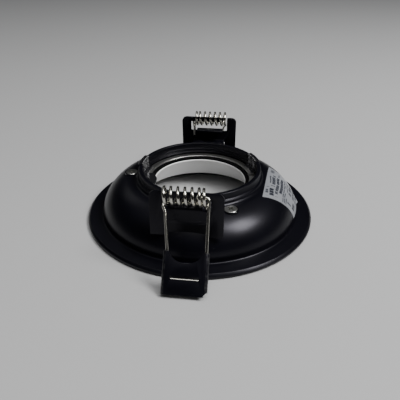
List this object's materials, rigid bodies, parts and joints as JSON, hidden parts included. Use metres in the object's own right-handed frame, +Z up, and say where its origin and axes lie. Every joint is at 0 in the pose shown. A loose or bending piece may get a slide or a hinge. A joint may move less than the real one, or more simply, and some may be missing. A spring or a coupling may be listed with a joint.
{
  "type": "recessed downlight",
  "caption": "Round recessed soffit downlight for a reflector lamp, with a flanged dome, a lamp collar, a reflector and sprung clips that fold up to hold it in its hole",
  "frame": {"origin": "centre of the visible face of the flange, which the light lies on", "axes": "+Z points up into the soffit, away from the room; +Y points at clip b, and X lies along the two hinge axes"},
  "size_m": [0.105, 0.1264, 0.0345],
  "materials": {
    "housing": "satin black paint over a casting",
    "reflector": "satin white paint",
    "bright_steel": "bright rolled steel",
    "clip": "blackened spring steel",
    "screw": "dull zinc",
    "bracket": "black painted sheet",
    "spring_wire": "bright spring wire",
    "label": "silver-grey printed film"
  },
  "bodies": {
    "root": {"housing": "housing", "reflector": "reflector", "seat_ring": "clip", "lamp_ring": "bright_steel", "ring_clip_1": "clip", "ring_clip_2": "clip", "reflector_screw_1": "screw", "reflector_screw_2": "screw", "reflector_screw_3": "screw", "bracket_a": "bracket", "bracket_b": "bracket", "bracket_rivet_a1": "bracket", "bracket_rivet_a2": "bracket", "bracket_rivet_b1": "bracket", "bracket_rivet_b2": "bracket", "spring_a": "spring_wire", "spring_b": "spring_wire", "label": "label"},
    "clip_a": {"wire_bail_a": "spring_wire", "flap_a": "bracket"},
    "clip_b": {"wire_bail_b": "spring_wire", "flap_b": "bracket"}
  },
  "joints": [
    {"name": "clip_a_hinge", "type": "hinge", "parent": "root", "child": "clip_a", "pos_m": [0, -0.04175, 0.0308], "axis": [-1, 0, 0], "range_deg": [0, 145], "stiffness_Nm_per_rad": 0.05, "springref_deg": -40.11, "deforming": ["spring_a"]},
    {"name": "clip_b_hinge", "type": "hinge", "parent": "root", "child": "clip_b", "pos_m": [0, 0.04175, 0.0308], "axis": [1, 0, 0], "range_deg": [0, 145], "stiffness_Nm_per_rad": 0.05, "springref_deg": -40.11, "deforming": ["spring_b"]}
  ]
}
